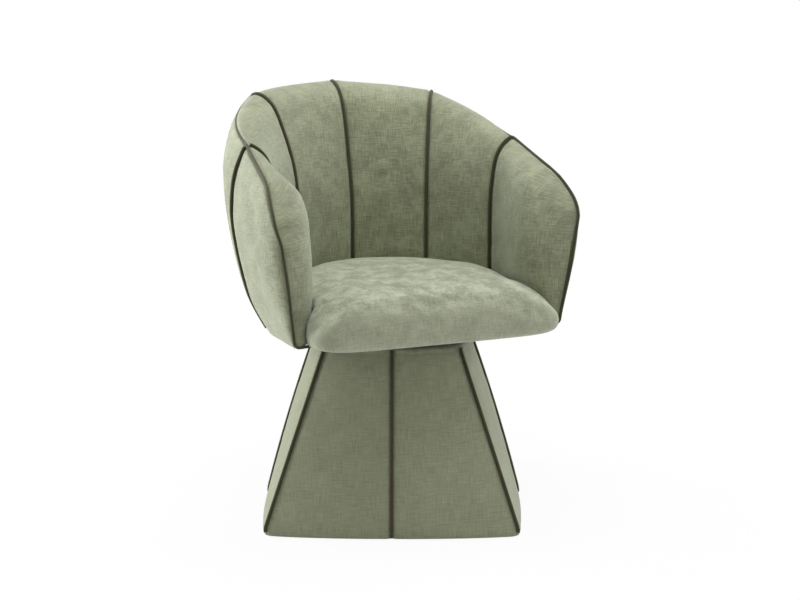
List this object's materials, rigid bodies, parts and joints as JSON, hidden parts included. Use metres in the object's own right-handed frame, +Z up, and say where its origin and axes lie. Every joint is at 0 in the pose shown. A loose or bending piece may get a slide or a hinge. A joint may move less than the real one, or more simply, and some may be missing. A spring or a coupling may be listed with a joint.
{
  "type": "swivel armchair",
  "caption": "Padded tub armchair with piped petal panels and a crowned seat cushion, turning on a ball-bearing swivel over an upholstered pyramid base.",
  "frame": {"origin": "on the floor at the middle of the base, on the swivel axis", "axes": "+Z up along the swivel axis; the base is square to X and Y, with its front towards -Y; at rest the seat is turned 23 degrees counter-clockwise seen from above"},
  "size_m": [0.6948, 0.6975, 0.8339],
  "materials": {
    "fabric": "woven sage green chenille, short soft pile",
    "piping": "dark olive brown corded piping",
    "felt": "black felt",
    "plywood": "birch plywood, unfinished",
    "panel_board": "medium-density board",
    "bush_brass": "sintered bush",
    "black_steel": "black powder coat",
    "bright_steel": "zinc plated"
  },
  "bodies": {
    "base": {"floor_felt": "felt", "base_bottom_board": "plywood", "base_top_board": "plywood", "base_web_long": "plywood", "base_web_cross": "plywood", "base_panel_front": "panel_board", "base_panel_right": "panel_board", "base_panel_back": "panel_board", "base_panel_left": "panel_board", "base_pad_front": "fabric", "base_pad_right": "fabric", "base_pad_back": "fabric", "base_pad_left": "fabric", "base_corner_piping": "piping", "base_centre_piping": "piping", "swivel_lower_plate": "black_steel", "bearing_lower_race": "bright_steel", "spindle_bush": "bush_brass", "base_bolts": "bright_steel", "base_tee_nuts": "bright_steel"},
    "ball_ring": {"bearing_balls": "bright_steel", "bearing_cage": "bright_steel"},
    "seat": {"swivel_upper_plate": "black_steel", "bearing_upper_race": "bright_steel", "spindle": "bright_steel", "thrust_washer": "bright_steel", "circlip": "bright_steel", "seat_bolts": "bright_steel", "seat_tee_nuts": "bright_steel", "seat_board": "plywood", "shell_rail": "plywood", "dust_cover": "felt", "rib_centre": "plywood", "rib_left": "plywood", "rib_right": "plywood", "rib_arm_left": "plywood", "rib_arm_right": "plywood", "arm_post_left": "plywood", "arm_post_right": "plywood", "shell_hoop": "black_steel", "seat_cushion": "fabric", "arm_panel_left": "fabric", "outer_panel_left": "fabric", "back_panel_left": "fabric", "back_panel_right": "fabric", "outer_panel_right": "fabric", "arm_panel_right": "fabric", "seam_piping_centre": "piping", "seam_piping_left": "piping", "seam_piping_right": "piping", "seam_piping_arm_left": "piping", "seam_piping_arm_right": "piping", "rim_piping": "piping"}
  },
  "joints": [
    {"name": "seat_swivel", "type": "hinge", "parent": "base", "child": "seat", "pos_m": [0, 0, 0.35], "axis": [0, 0, 1], "continuous": true},
    {"name": "ball_ring_spin", "type": "hinge", "parent": "base", "child": "ball_ring", "pos_m": [0, 0, 0.35], "axis": [0, 0, 1], "continuous": true}
  ],
  "couplings": [
    {"joint": "ball_ring_spin", "follows": "seat_swivel", "ratio": 0.5}
  ]
}
